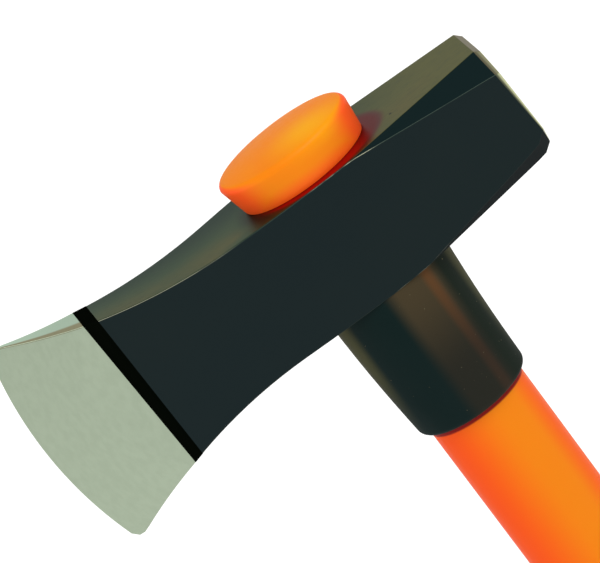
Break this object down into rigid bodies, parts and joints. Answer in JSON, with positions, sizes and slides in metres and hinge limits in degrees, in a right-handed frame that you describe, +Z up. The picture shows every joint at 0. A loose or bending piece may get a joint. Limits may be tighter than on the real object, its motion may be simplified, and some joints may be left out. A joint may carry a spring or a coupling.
{
  "type": "fire axe",
  "caption": "Heavy long-handled axe with a wedge-shaped steel head, octagonal hammer poll, moulded plastic handle jacket and rubber collar and grip, for forcing entry and splitting.",
  "frame": {"origin": "on the handle's axis at the underside of the head, where wall hooks carry the axe", "axes": "+Z up the handle towards the head, -X towards the cutting edge, +X towards the poll, Y across the cheeks"},
  "size_m": [0.1986, 0.0426, 0.9016],
  "materials": {
    "head_steel": "smooth dark paint on the cheeks, with bare ground steel on the blade, the top, the underside and the hammer face",
    "glass_fibre": "pultruded glass-fibre rod",
    "jacket_plastic": "satin moulded polypropylene",
    "bond_resin": "cured epoxy",
    "collar_rubber": "smooth satin rubber",
    "grip_rubber": "fine-textured rubber"
  },
  "bodies": {
    "root": {"axe_head": "head_steel", "handle_core": "glass_fibre", "handle_jacket": "jacket_plastic", "eye_bond": "bond_resin", "neck_collar": "collar_rubber", "grip_sleeve": "grip_rubber"}
  },
  "joints": []
}
